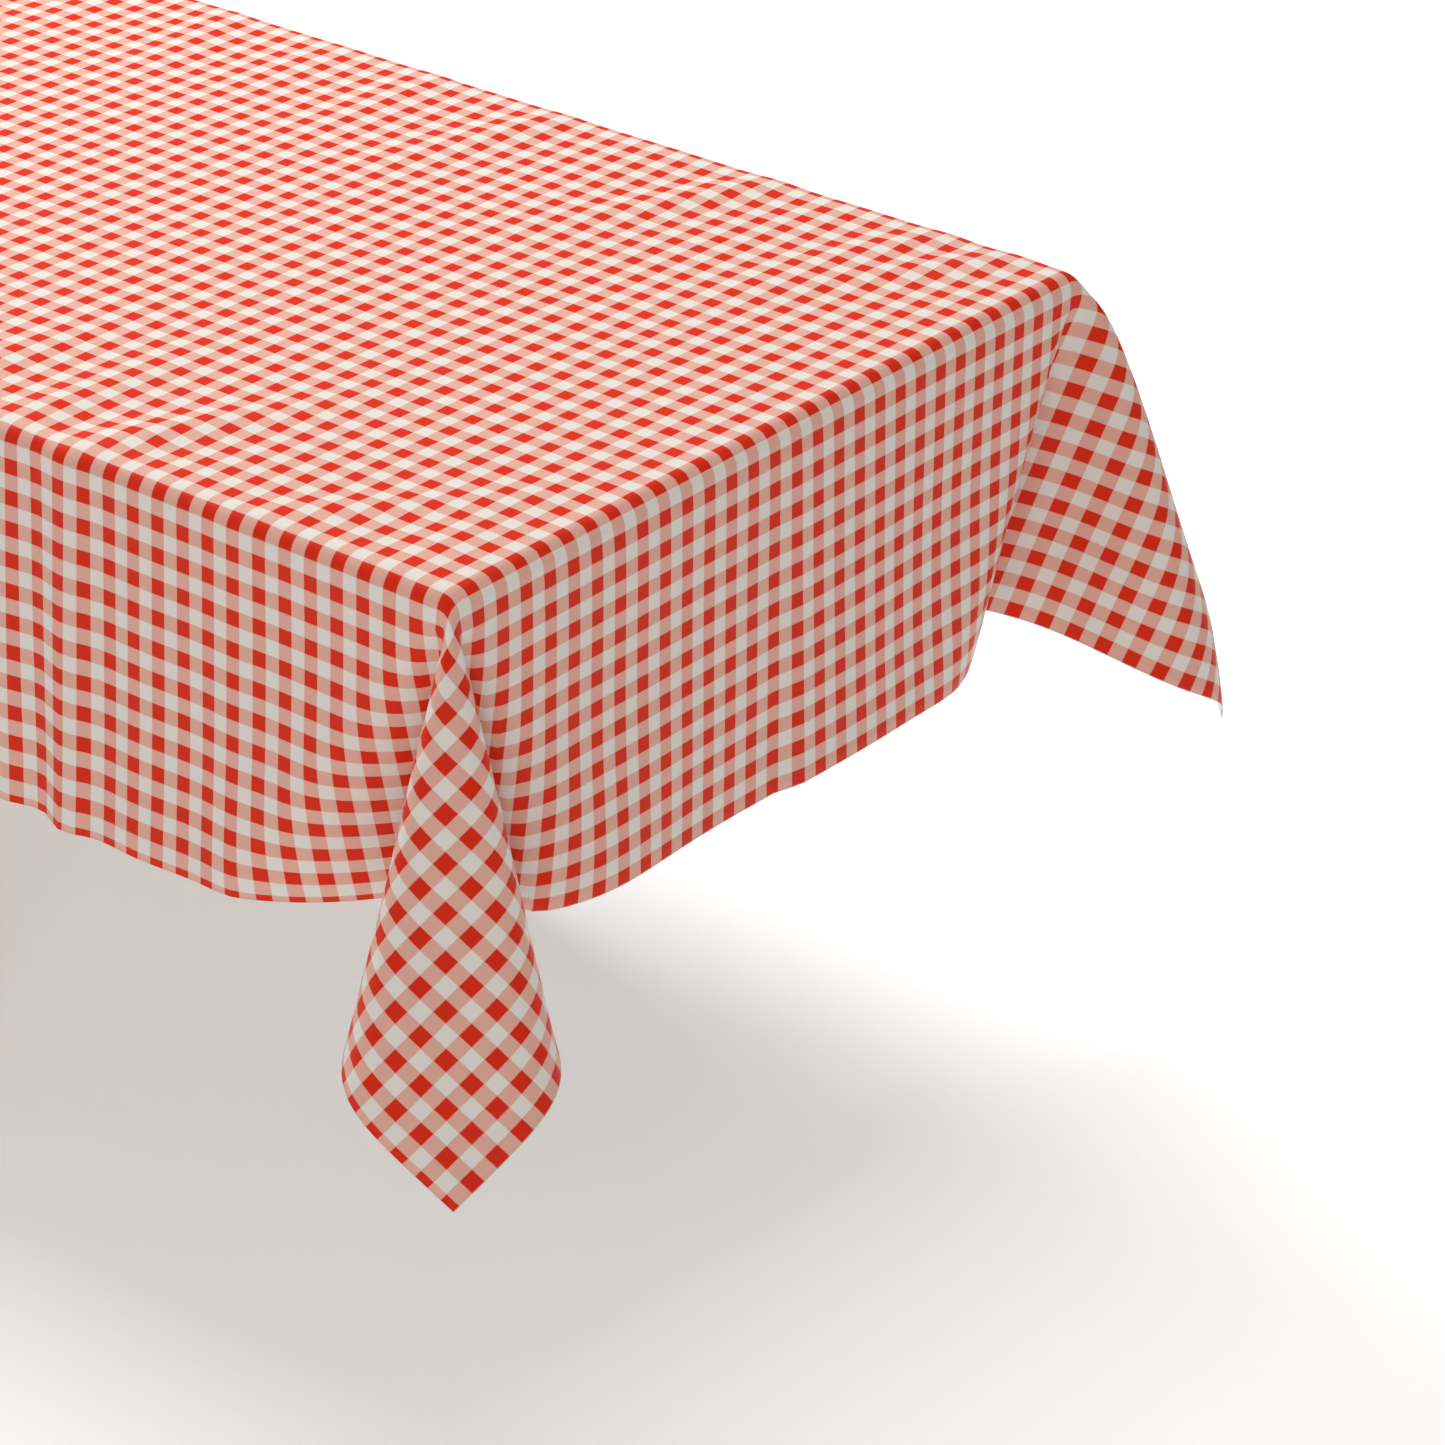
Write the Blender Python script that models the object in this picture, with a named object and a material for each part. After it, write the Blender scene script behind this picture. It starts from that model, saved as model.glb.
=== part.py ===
"""A long wooden table dressed with a wipe-clean gingham tablecloth.

Metres, +Z up, long side along X.  The origin is on the floor under the middle
of the table.  The cloth is one closed sheet that lies on the top, bends over
the edges and hangs straight down, with a pointed fold at each corner.  It is
not fixed to the table and lifts straight up.  The table is a lipped board on
two long rails, carried by two braced leg frames.
"""

import math

import bmesh
import bpy
from mathutils import Matrix, Vector

# ---------------------------------------------------------------- sizes
TABLE_LENGTH = 2.400
TABLE_WIDTH = 0.766
TABLE_HEIGHT = 0.740

SEAT_GAP = 0.0003          # left between pieces that touch
HOLE_CLEARANCE = 0.0003    # round every screw, bolt, dowel and stem

BOARD_THICKNESS = 0.028
LIPPING_WIDTH = 0.022
EDGE_RADIUS = 0.012        # rounding of the lipping's top edge
CORNER_RADIUS = 0.016      # rounding of the table's corner, seen from above
EDGE_STEPS = 5
CORNER_STEPS = 6

RAIL_WIDTH = 0.034
RAIL_HEIGHT = 0.045
RAIL_SPACING = 0.480       # between the two rails' centre lines
RAIL_END_SETBACK = 0.110   # from the table's end to the rail's end

BATTEN_WIDTH = 0.070
BATTEN_THICKNESS = 0.022
BATTEN_LENGTH = 0.600
BATTEN_END_SETBACK = 0.032 # from the table's end to the batten's outer face

FRAME_SETBACK = 0.710      # from the table's end to the leg frame's centre line
BEARER_WIDTH = 0.060
BEARER_HEIGHT = 0.040
BEARER_END_SETBACK = 0.050 # from the table's side to the bearer's end

LEG_SIDE = 0.050
LEG_SIDE_SETBACK = 0.065   # from the table's side to the leg's outer face

STRETCHER_WIDTH = 0.034
STRETCHER_HEIGHT = 0.060
STRETCHER_CENTRE_Z = 0.300
BEAM_WIDTH = 0.034
BEAM_HEIGHT = 0.060

GLIDE_RADIUS = 0.019
GLIDE_HEIGHT = 0.010
GLIDE_RIM = 0.002
GLIDE_STEM_RADIUS = 0.004
GLIDE_STEM_LENGTH = 0.022

SCREW_HEAD_RADIUS = 0.0045
SCREW_HEAD_HEIGHT = 0.0030
SCREW_SHANK_RADIUS = 0.0025
SCREW_POINT_LENGTH = 0.004
SCREW_SPACING = 0.034      # between the two screws at one crossing
BEARER_SCREW_LENGTH = 0.065
BATTEN_SCREW_LENGTH = 0.036
BATTEN_SCREW_COUNT = 3

DOWEL_RADIUS = 0.005
DOWEL_LENGTH = 0.050
DOWEL_SPACING = 0.026

BOLT_HEAD_RADIUS = 0.0085
BOLT_HEAD_HEIGHT = 0.0050
BOLT_SHANK_RADIUS = 0.0035
BOLT_LENGTH = 0.095

WOOD_CHAMFER = 0.002
ROUND_STEPS = 10

CLOTH_THICKNESS = 0.0009
CLOTH_DROP = 0.320         # from the top down to the hem
BEND_EASE = 0.0020         # by which the cloth's bend is tighter than the edge it covers
BEND_STEPS = 3
FAN_STEPS = 12             # folds' columns on each half of a corner
SIDE_STEPS = 7             # columns along a side next to a corner
SIDE_BLEND = 0.360         # length of side that the corner fold still shapes
DROP_STEPS = 5

# The corner fold.  Every line from the corner down to the hem has a lean
# away from the corner and a turn to the side, both in degrees from straight
# down.
FOLD_LEAN = 19.5           # of the fold's front, outwards along the diagonal
FOLD_HALF_WIDTH = 12.5     # of the fold's front, to each side
NECK_LEAN = 1.0            # where the fold's flank meets the side drop
NECK_HALF_WIDTH = 6.0
SIDE_FLARE = 1.0           # of the side drop, away from upright
SIDE_SPAN = 60.0           # turn, from the table's edge, that stays flat as a side drop

# ---------------------------------------------------------------- places
HALF_LENGTH = TABLE_LENGTH / 2
HALF_WIDTH = TABLE_WIDTH / 2
FRAME_X = HALF_LENGTH - FRAME_SETBACK
RAIL_Y = RAIL_SPACING / 2
LEG_Y = HALF_WIDTH - LEG_SIDE_SETBACK - LEG_SIDE / 2
BATTEN_X = HALF_LENGTH - BATTEN_END_SETBACK - BATTEN_WIDTH / 2

BOARD_BASE = TABLE_HEIGHT - BOARD_THICKNESS
RAIL_TOP = BOARD_BASE - SEAT_GAP
RAIL_BASE = RAIL_TOP - RAIL_HEIGHT
BEARER_TOP = RAIL_BASE - SEAT_GAP
BEARER_BASE = BEARER_TOP - BEARER_HEIGHT
LEG_TOP = BEARER_BASE - SEAT_GAP
LEG_BASE = GLIDE_HEIGHT + SEAT_GAP
BATTEN_TOP = BOARD_BASE - SEAT_GAP
BATTEN_BASE = BATTEN_TOP - BATTEN_THICKNESS

CLOTH_BEND = EDGE_RADIUS - BEND_EASE   # reach of the bend, each side of the edge

ENDS = (("left", -1), ("right", 1))
SIDES = (("front", -1), ("back", 1))


# ---------------------------------------------------------------- tools
def clear_scene():
    for item in list(bpy.data.objects):
        bpy.data.objects.remove(item, do_unlink=True)


def material(name, colour, roughness, metallic=0.0):
    made = bpy.data.materials.new(name)
    made.use_nodes = True
    made.diffuse_color = (*colour, 1.0)
    shader = made.node_tree.nodes["Principled BSDF"]
    shader.inputs["Base Color"].default_value = (*colour, 1.0)
    shader.inputs["Roughness"].default_value = roughness
    shader.inputs["Metallic"].default_value = metallic
    return made


def finish(name, bm, made_of, place=(0, 0, 0), round_piece=False):
    """Turns a bmesh into a named object, with its faces pointing out."""
    bmesh.ops.recalc_face_normals(bm, faces=bm.faces)
    mesh = bpy.data.meshes.new(name)
    bm.to_mesh(mesh)
    bm.free()
    if round_piece:
        mesh.shade_smooth()
        mesh.set_sharp_from_angle(angle=math.radians(35))
    item = bpy.data.objects.new(name, mesh)
    item.location = place
    item.data.materials.append(made_of)
    bpy.context.collection.objects.link(item)
    return item


def timber(name, size, place, made_of, chamfer=WOOD_CHAMFER):
    """A straight piece of wood with its long edges and ends eased."""
    bm = bmesh.new()
    bmesh.ops.create_cube(bm, size=1.0, matrix=Matrix.Diagonal((*size, 1.0)))
    if chamfer:
        bmesh.ops.bevel(bm, geom=list(bm.edges), offset=chamfer, segments=1,
                        profile=0.5, affect="EDGES", clamp_overlap=True)
    return finish(name, bm, made_of, place)


def turn(bm, profile, place, steps=ROUND_STEPS):
    """Adds a closed turned body.  profile runs from its base up as (radius, height)."""
    rings = []
    for radius, height in profile:
        ring = []
        for step in range(steps):
            angle = 2 * math.pi * step / steps
            point = Vector((radius * math.cos(angle), radius * math.sin(angle), height))
            ring.append(bm.verts.new(place @ point))
        rings.append(ring)
    for lower, upper in zip(rings, rings[1:]):
        for step in range(steps):
            after = (step + 1) % steps
            bm.faces.new((lower[step], lower[after], upper[after], upper[step]))
    bm.faces.new(list(reversed(rings[0])))
    bm.faces.new(rings[-1])


def turned_pieces(name, profile, places, made_of):
    """One turned piece at each place, numbered from 1, all sharing a mesh."""
    bm = bmesh.new()
    turn(bm, profile, Matrix.Identity(4))
    first = finish(name + "_1", bm, made_of, round_piece=True)
    first.matrix_basis = places[0]
    for number, place in enumerate(places[1:], start=2):
        copy = bpy.data.objects.new(f"{name}_{number}", first.data)
        copy.matrix_basis = place
        bpy.context.collection.objects.link(copy)


def drill(item, profile, places):
    """Cuts a turned hole into item at each of the places."""
    bm = bmesh.new()
    for place in places:
        turn(bm, profile, item.matrix_basis.inverted() @ place)
    cutter = finish(item.name + "_holes", bm, item.data.materials[0])
    cutter.location = item.location
    cutter.hide_render = True
    cutter.display_type = "WIRE"
    cut = item.modifiers.new("holes", "BOOLEAN")
    cut.operation = "DIFFERENCE"
    cut.solver = "EXACT"
    cut.object = cutter


def hole_for(profile, lead_in):
    """The hole that clears a turned body, opened by lead_in below its base."""
    grown = [(radius + HOLE_CLEARANCE, height) for radius, height in profile]
    first_radius, first_height = grown[0]
    last_radius, last_height = grown[-1]
    grown[0] = (first_radius, first_height - lead_in)
    grown[-1] = (last_radius, last_height + HOLE_CLEARANCE)
    return grown


def upright(x, y, z):
    return Matrix.Translation((x, y, z))


def pointing(x, y, z, direction):
    """A frame at a point, with its +Z along direction."""
    turned = Vector(direction).to_track_quat("Z", "Y").to_matrix().to_4x4()
    return Matrix.Translation((x, y, z)) @ turned


# ---------------------------------------------------------------- table top
def make_board(wood):
    size = (TABLE_LENGTH - 2 * (LIPPING_WIDTH + SEAT_GAP),
            TABLE_WIDTH - 2 * (LIPPING_WIDTH + SEAT_GAP),
            BOARD_THICKNESS)
    place = (0, 0, BOARD_BASE + BOARD_THICKNESS / 2)
    return timber("board", size, place, wood, chamfer=0)


def rounded_edge(bm, chosen):
    bmesh.ops.bevel(bm, geom=chosen, offset=EDGE_RADIUS, segments=EDGE_STEPS,
                    profile=0.5, affect="EDGES", clamp_overlap=False)


def make_long_lipping(name, side, wood):
    """A lipping of the full length, with the table's two corners rounded on it."""
    bm = bmesh.new()
    inner = HALF_WIDTH - LIPPING_WIDTH
    centre_x = HALF_LENGTH - CORNER_RADIUS
    centre_y = HALF_WIDTH - CORNER_RADIUS
    outline = [(HALF_LENGTH, inner)]
    for step in range(CORNER_STEPS + 1):
        angle = math.pi / 2 * step / CORNER_STEPS
        outline.append((centre_x + CORNER_RADIUS * math.cos(angle),
                        centre_y + CORNER_RADIUS * math.sin(angle)))
    outline += [(-x, y) for x, y in reversed(outline)]
    ring = [bm.verts.new((x, side * y, BOARD_BASE)) for x, y in outline]
    base = bm.faces.new(ring)
    grown = bmesh.ops.extrude_face_region(bm, geom=[base])
    lifted = [part for part in grown["geom"] if isinstance(part, bmesh.types.BMVert)]
    bmesh.ops.translate(bm, verts=lifted, vec=(0, 0, BOARD_THICKNESS))
    on_top = set(lifted)
    edges = []
    for edge in bm.edges:
        if not all(vert in on_top for vert in edge.verts):
            continue
        if all(abs(abs(vert.co.y) - inner) < SEAT_GAP for vert in edge.verts):
            continue
        edges.append(edge)
    rounded_edge(bm, edges)
    return finish(name, bm, wood)


def make_end_lipping(name, end, wood):
    """A lipping that fits between the two long ones, with its top edge rounded."""
    bm = bmesh.new()
    length = TABLE_WIDTH - 2 * (LIPPING_WIDTH + SEAT_GAP)
    size = (LIPPING_WIDTH, length, BOARD_THICKNESS)
    bmesh.ops.create_cube(bm, size=1.0, matrix=Matrix.Diagonal((*size, 1.0)))
    edges = []
    for edge in bm.edges:
        if all(vert.co.x * end > 0 and vert.co.z > 0 for vert in edge.verts):
            edges.append(edge)
    rounded_edge(bm, edges)
    place = (end * (HALF_LENGTH - LIPPING_WIDTH / 2), 0, BOARD_BASE + BOARD_THICKNESS / 2)
    return finish(name, bm, wood, place)


# ---------------------------------------------------------------- under the top
def make_rail(name, side, wood):
    size = (TABLE_LENGTH - 2 * RAIL_END_SETBACK, RAIL_WIDTH, RAIL_HEIGHT)
    return timber(name, size, (0, side * RAIL_Y, RAIL_BASE + RAIL_HEIGHT / 2), wood)


def make_batten(name, end, wood):
    size = (BATTEN_WIDTH, BATTEN_LENGTH, BATTEN_THICKNESS)
    return timber(name, size, (end * BATTEN_X, 0, BATTEN_BASE + BATTEN_THICKNESS / 2), wood)


def screw_profile(length):
    return [(SCREW_HEAD_RADIUS, 0),
            (SCREW_HEAD_RADIUS, SCREW_HEAD_HEIGHT / 5),
            (SCREW_SHANK_RADIUS, SCREW_HEAD_HEIGHT),
            (SCREW_SHANK_RADIUS, length - SCREW_POINT_LENGTH),
            (SCREW_SHANK_RADIUS / 3, length)]


def batten_screw_places(end):
    pitch = BATTEN_LENGTH / BATTEN_SCREW_COUNT
    first = -BATTEN_LENGTH / 2 + pitch / 2
    return [upright(end * BATTEN_X, first + pitch * step, BATTEN_BASE)
            for step in range(BATTEN_SCREW_COUNT)]


def bearer_screw_places(end, side):
    return [upright(end * FRAME_X + offset, side * RAIL_Y, BEARER_BASE)
            for offset in (-SCREW_SPACING / 2, SCREW_SPACING / 2)]


# ---------------------------------------------------------------- leg frames
def make_bearer(name, end, wood):
    size = (BEARER_WIDTH, TABLE_WIDTH - 2 * BEARER_END_SETBACK, BEARER_HEIGHT)
    return timber(name, size, (end * FRAME_X, 0, BEARER_BASE + BEARER_HEIGHT / 2), wood)


def make_leg(name, end, side, wood):
    size = (LEG_SIDE, LEG_SIDE, LEG_TOP - LEG_BASE)
    return timber(name, size, (end * FRAME_X, side * LEG_Y, (LEG_TOP + LEG_BASE) / 2), wood)


def make_stretcher(name, end, wood):
    length = 2 * (LEG_Y - LEG_SIDE / 2 - SEAT_GAP)
    size = (STRETCHER_WIDTH, length, STRETCHER_HEIGHT)
    return timber(name, size, (end * FRAME_X, 0, STRETCHER_CENTRE_Z), wood)


def make_beam(wood):
    length = 2 * (FRAME_X - STRETCHER_WIDTH / 2 - SEAT_GAP)
    return timber("beam", (length, BEAM_WIDTH, BEAM_HEIGHT), (0, 0, STRETCHER_CENTRE_Z), wood)


def dowel_profile():
    end = DOWEL_RADIUS / 5
    return [(DOWEL_RADIUS - end, -DOWEL_LENGTH / 2),
            (DOWEL_RADIUS, -DOWEL_LENGTH / 2 + end),
            (DOWEL_RADIUS, DOWEL_LENGTH / 2 - end),
            (DOWEL_RADIUS - end, DOWEL_LENGTH / 2)]


def dowel_places(end, side):
    return [upright(end * FRAME_X, side * LEG_Y + offset, BEARER_BASE)
            for offset in (-DOWEL_SPACING / 2, DOWEL_SPACING / 2)]


def bolt_profile():
    """From the outer face of the head, which stands proud of the wood, to the tip."""
    return [(BOLT_HEAD_RADIUS * 0.7, -BOLT_HEAD_HEIGHT),
            (BOLT_HEAD_RADIUS, -BOLT_HEAD_HEIGHT * 0.6),
            (BOLT_HEAD_RADIUS, -SEAT_GAP),
            (BOLT_SHANK_RADIUS, -SEAT_GAP),
            (BOLT_SHANK_RADIUS, BOLT_LENGTH)]


def bolt_hole_profile():
    radius = BOLT_SHANK_RADIUS + HOLE_CLEARANCE
    return [(radius, -BOLT_HEAD_HEIGHT), (radius, BOLT_LENGTH + HOLE_CLEARANCE)]


def leg_bolt_place(end, side):
    outer = side * (LEG_Y + LEG_SIDE / 2)
    return pointing(end * FRAME_X, outer, STRETCHER_CENTRE_Z, (0, -side, 0))


def beam_bolt_place(end):
    outer = end * (FRAME_X + STRETCHER_WIDTH / 2)
    return pointing(outer, 0, STRETCHER_CENTRE_Z, (-end, 0, 0))


def glide_profile():
    return [(GLIDE_RADIUS - GLIDE_RIM, 0),
            (GLIDE_RADIUS, GLIDE_RIM),
            (GLIDE_RADIUS, GLIDE_HEIGHT - GLIDE_RIM),
            (GLIDE_RADIUS - GLIDE_RIM, GLIDE_HEIGHT),
            (GLIDE_STEM_RADIUS, GLIDE_HEIGHT),
            (GLIDE_STEM_RADIUS, GLIDE_HEIGHT + GLIDE_STEM_LENGTH)]


def stem_hole_profile():
    radius = GLIDE_STEM_RADIUS + HOLE_CLEARANCE
    return [(radius, 0), (radius, GLIDE_HEIGHT + GLIDE_STEM_LENGTH + HOLE_CLEARANCE)]


# ---------------------------------------------------------------- tablecloth
def side_drop_lean(slant):
    """(lean, turn) of a line in the side drop, slant degrees from its steepest line."""
    swing = math.radians(slant)
    flare = math.radians(SIDE_FLARE)
    half = math.sqrt(0.5)
    along = Vector((-half, half, 0))
    away = Vector((half, half, 0))
    down = away * math.sin(flare) + Vector((0, 0, -math.cos(flare)))
    line = along * math.sin(swing) + down * math.cos(swing)
    tilt = math.degrees(math.acos(max(-1.0, min(1.0, -line.z))))
    heading = math.atan2(line.y, line.x)
    return tilt * math.cos(heading), tilt * math.sin(heading)


def line_direction(lean, turn_out):
    """Unit vector, in (diagonal, sideways, up), of a line with this lean and turn."""
    tilt = math.radians(math.hypot(lean, turn_out))
    heading = math.atan2(turn_out, lean)
    return Vector((math.sin(tilt) * math.cos(heading),
                   math.sin(tilt) * math.sin(heading),
                   -math.cos(tilt)))


def fold_guides():
    """Guide values of half a corner, from the fold's front round to the table's edge."""
    lean, half = FOLD_LEAN, FOLD_HALF_WIDTH
    guides = [(lean, -0.7 * half), (lean, 0.0), (lean, 0.7 * half),
              (lean - 4.5, 1.12 * half), (lean - 12.0, 1.0 * half),
              (NECK_LEAN + 2.5, 0.7 * half), (NECK_LEAN, NECK_HALF_WIDTH)]
    for slant in (20, 30, 40, 52, 64, 77, 90, 103, 116):
        guides.append(side_drop_lean(slant))
    return guides


def smooth_line(guides, steps=16):
    """Points along the uniform cubic B-spline of the guides."""
    points = []
    for a, b, c, d in zip(guides, guides[1:], guides[2:], guides[3:]):
        for step in range(steps):
            t = step / steps
            weights = ((1 - t) ** 3 / 6, (3 * t ** 3 - 6 * t ** 2 + 4) / 6,
                       (-3 * t ** 3 + 3 * t ** 2 + 3 * t + 1) / 6, t ** 3 / 6)
            points.append(tuple(sum(w * value[axis] for w, value in zip(weights, (a, b, c, d)))
                                for axis in (0, 1)))
    return points


def corner_lines():
    """Directions round half a corner, with the turn made on the way to each."""
    lines = [line_direction(*point) for point in smooth_line(fold_guides())]
    lines = [line for line in lines if line.y >= 0 and line.z <= 0]
    turns = [0.0]
    for before, after in zip(lines, lines[1:]):
        turns.append(turns[-1] + before.angle(after))
    return lines, turns


def direction_at(lines, turns, angle):
    """Direction of the line that lies at this angle from the diagonal in the flat cloth."""
    flat_turn = math.radians(135)
    side_turn = math.radians(SIDE_SPAN)
    if angle > flat_turn - side_turn:
        turn_made = turns[-1] - (flat_turn - angle)
    else:
        turn_made = angle * (turns[-1] - side_turn) / (flat_turn - side_turn)
    turn_made = max(0.0, min(turns[-1], turn_made))
    for index in range(1, len(turns)):
        if turn_made <= turns[index]:
            break
    part = (turn_made - turns[index - 1]) / (turns[index] - turns[index - 1])
    return lines[index - 1].lerp(lines[index], part).normalized()


def bend(start, control, end):
    """Points of the cloth's bend over an edge, from the top down."""
    points = []
    for step in range(BEND_STEPS + 1):
        t = step / BEND_STEPS
        points.append(start * (1 - t) ** 2 + control * 2 * t * (1 - t) + end * t ** 2)
    return points


def corner_columns():
    """Columns of half a corner, top to hem, in (diagonal, sideways, up) from the apex."""
    lines, turns = corner_lines()
    half_root = math.sqrt(0.5)
    radius = CORNER_RADIUS + SEAT_GAP
    centre = Vector((-radius / half_root, 0, 0))
    along_edge = Vector((-half_root, half_root, 0))
    inwards = Vector((-half_root, -half_root, 0))

    def on_fold(reach, angle):
        return direction_at(lines, turns, angle) * reach

    columns = []
    for step in range(FAN_STEPS + 1):
        angle = math.pi / 4 * step / FAN_STEPS
        outwards = Vector((math.cos(angle), math.sin(angle), 0))
        hem = CLOTH_DROP / math.sin(math.pi / 4 + angle)
        column = bend(centre + outwards * (radius - CLOTH_BEND),
                      centre + outwards * radius, on_fold(CLOTH_BEND, angle))
        for drop in range(1, DROP_STEPS + 1):
            reach = CLOTH_BEND + (hem - CLOTH_BEND) * drop / DROP_STEPS
            column.append(on_fold(reach, angle))
        columns.append(column)
    for step in range(1, SIDE_STEPS + 1):
        # close together next to the corner, wider apart further along
        share = step / SIDE_STEPS
        away = radius + (SIDE_BLEND - radius) * share * share
        edge = along_edge * away
        column = bend(edge + inwards * CLOTH_BEND, edge,
                      side_point(on_fold, away, CLOTH_BEND))
        for drop in range(1, DROP_STEPS + 1):
            depth = CLOTH_BEND + (CLOTH_DROP - CLOTH_BEND) * drop / DROP_STEPS
            column.append(side_point(on_fold, away, depth))
        columns.append(column)
    return columns


def side_point(on_fold, away, depth):
    """Point of the side drop, away along the edge from the corner and depth down the cloth."""
    reach = math.hypot(away, depth)
    return on_fold(reach, math.atan2(depth, -away) - math.pi / 4)


def corner_point(point, end, side):
    """From a corner's own (diagonal, sideways, up) into the table's frame."""
    half_root = math.sqrt(0.5)
    x = HALF_LENGTH + SEAT_GAP + half_root * (point.x - point.y)
    y = HALF_WIDTH + SEAT_GAP + half_root * (point.x + point.y)
    return Vector((end * x, side * y, TABLE_HEIGHT + SEAT_GAP + point.z))


def cloth_columns():
    """All columns round the table, anticlockwise seen from above."""
    towards_side = corner_columns()
    towards_end = [[Vector((point.x, -point.y, point.z)) for point in column]
                   for column in towards_side]
    corner = list(reversed(towards_end)) + towards_side[1:]
    columns = []
    for end, side in ((1, 1), (-1, 1), (-1, -1), (1, -1)):
        ordered = corner if end * side > 0 else list(reversed(corner))
        for column in ordered:
            columns.append([corner_point(point, end, side) for point in column])
    return columns


def make_tablecloth(print_cloth):
    bm = bmesh.new()
    columns = [[bm.verts.new(point) for point in column] for column in cloth_columns()]
    for index, column in enumerate(columns):
        after = columns[(index + 1) % len(columns)]
        for level in range(len(column) - 1):
            bm.faces.new((column[level], column[level + 1], after[level + 1], after[level]))
    bm.faces.new([column[0] for column in columns])
    bmesh.ops.recalc_face_normals(bm, faces=bm.faces)
    bm.normal_update()
    thicken(bm)
    return finish("tablecloth", bm, print_cloth, round_piece=True)


def thicken(bm):
    """Closes the open sheet, which is the cloth's underside, into a solid sheet."""
    under = list(bm.faces)
    rim = [edge for edge in bm.edges if edge.is_boundary]
    outer = {}
    for vert in list(bm.verts):
        outer[vert] = bm.verts.new(vert.co + vert.normal * CLOTH_THICKNESS)
    for face in under:
        bm.faces.new([outer[vert] for vert in face.verts])
    for edge in rim:
        first, second = edge.verts
        bm.faces.new((first, second, outer[second], outer[first]))


# ---------------------------------------------------------------- assembly
def build():
    clear_scene()
    print_cloth = material("cloth_print", (0.80, 0.30, 0.24), 0.38)
    veneer = material("board_wood", (0.46, 0.29, 0.16), 0.55)
    lipping_wood = material("lipping_wood", (0.42, 0.25, 0.13), 0.50)
    frame_wood = material("frame_wood", (0.50, 0.33, 0.19), 0.55)
    dowel_wood = material("dowel_wood", (0.62, 0.46, 0.30), 0.65)
    steel = material("fastener_steel", (0.55, 0.55, 0.56), 0.35, 1.0)
    plastic = material("glide_plastic", (0.05, 0.05, 0.05), 0.55)

    make_tablecloth(print_cloth)

    board = make_board(veneer)
    for name, side in SIDES:
        make_long_lipping("lipping_" + name, side, lipping_wood)
    for name, end in ENDS:
        make_end_lipping("lipping_" + name, end, lipping_wood)

    rails = {side: make_rail("rail_" + name, side, frame_wood) for name, side in SIDES}
    battens = {end: make_batten("batten_" + name, end, frame_wood) for name, end in ENDS}
    bearers = {end: make_bearer("bearer_" + name, end, frame_wood) for name, end in ENDS}
    stretchers = {end: make_stretcher("stretcher_" + name, end, frame_wood) for name, end in ENDS}
    beam = make_beam(frame_wood)

    batten_screws = screw_profile(BATTEN_SCREW_LENGTH)
    batten_holes = hole_for(batten_screws, SCREW_HEAD_HEIGHT)
    bearer_screws = screw_profile(BEARER_SCREW_LENGTH)
    bearer_holes = hole_for(bearer_screws, SCREW_HEAD_HEIGHT)
    dowel_holes = hole_for(dowel_profile(), HOLE_CLEARANCE)

    glide_places = []
    for end_name, end in ENDS:
        for side_name, side in SIDES:
            name = "leg_" + side_name + "_" + end_name
            leg = make_leg(name, end, side, frame_wood)
            glide_place = upright(end * FRAME_X, side * LEG_Y, 0)
            glide_places.append(glide_place)
            drill(leg, stem_hole_profile(), [glide_place])
            drill(leg, dowel_holes, dowel_places(end, side))
            drill(leg, bolt_hole_profile(), [leg_bolt_place(end, side)])

    corners = [(end, side) for _, end in ENDS for _, side in SIDES]
    drill(board, batten_holes, [place for _, end in ENDS for place in batten_screw_places(end)])
    for _, side in SIDES:
        drill(rails[side], bearer_holes,
              [place for _, end in ENDS for place in bearer_screw_places(end, side)])
    for _, end in ENDS:
        drill(battens[end], batten_holes, batten_screw_places(end))
        drill(bearers[end], bearer_holes,
              [place for _, side in SIDES for place in bearer_screw_places(end, side)])
        drill(bearers[end], dowel_holes,
              [place for _, side in SIDES for place in dowel_places(end, side)])
        drill(stretchers[end], bolt_hole_profile(),
              [leg_bolt_place(end, side) for _, side in SIDES] + [beam_bolt_place(end)])
    drill(beam, bolt_hole_profile(), [beam_bolt_place(end) for _, end in ENDS])

    turned_pieces("glide", glide_profile(), glide_places, plastic)
    turned_pieces("batten_screw", batten_screws,
                  [place for _, end in ENDS for place in batten_screw_places(end)], steel)
    turned_pieces("bearer_screw", bearer_screws,
                  [place for end, side in corners for place in bearer_screw_places(end, side)],
                  steel)
    turned_pieces("leg_dowel", dowel_profile(),
                  [place for end, side in corners for place in dowel_places(end, side)],
                  dowel_wood)
    turned_pieces("frame_bolt", bolt_profile(),
                  [leg_bolt_place(end, side) for end, side in corners]
                  + [beam_bolt_place(end) for _, end in ENDS], steel)


build()
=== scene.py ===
"""A long table dressed with a gingham oilcloth, finished for rendering.

The wooden table keeps its own solids and gets timber, steel and moulded
plastic finishes.  The cloth is made from the flat sheet it was cut as: each
corner's spare cloth closes into one pointed fold without stretching, the
bends over the edges are rounded, and the sheet is then settled on the table
by a short cloth simulation.
"""
import math

import bmesh
import bpy
import numpy as np
from bpy.props import FloatProperty, FloatVectorProperty, IntProperty, PointerProperty
from bpy.types import Operator, Panel, PropertyGroup
from mathutils import Matrix, Vector, noise


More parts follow.
